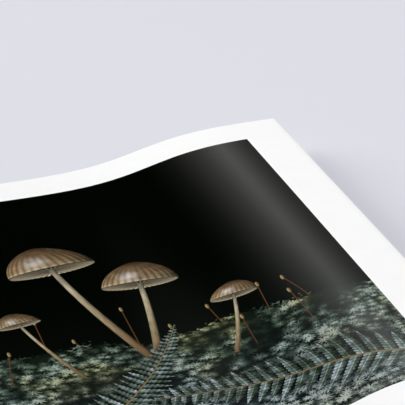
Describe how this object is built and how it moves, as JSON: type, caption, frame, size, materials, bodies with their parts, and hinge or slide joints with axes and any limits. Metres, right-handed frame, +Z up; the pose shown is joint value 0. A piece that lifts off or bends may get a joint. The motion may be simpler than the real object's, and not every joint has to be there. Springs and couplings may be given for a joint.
{
  "type": "photographic art print",
  "caption": "Unframed landscape photo print on heavy white paper with a plain border, lying flat, its right end raised in a soft wave and its left end slightly curled.",
  "frame": {"origin": "on the surface that the print lies on, under the centre of the bent sheet's outline", "axes": "+X along the picture's width towards the raised end, +Y towards the picture's top, +Z up out of the printed face"},
  "size_m": [0.5062, 0.3556, 0.0219],
  "materials": {
    "paper": "satin",
    "printed_coat": "satin"
  },
  "bodies": {
    "root": {"paper_sheet": "paper", "printed_picture": "printed_coat"}
  },
  "joints": []
}
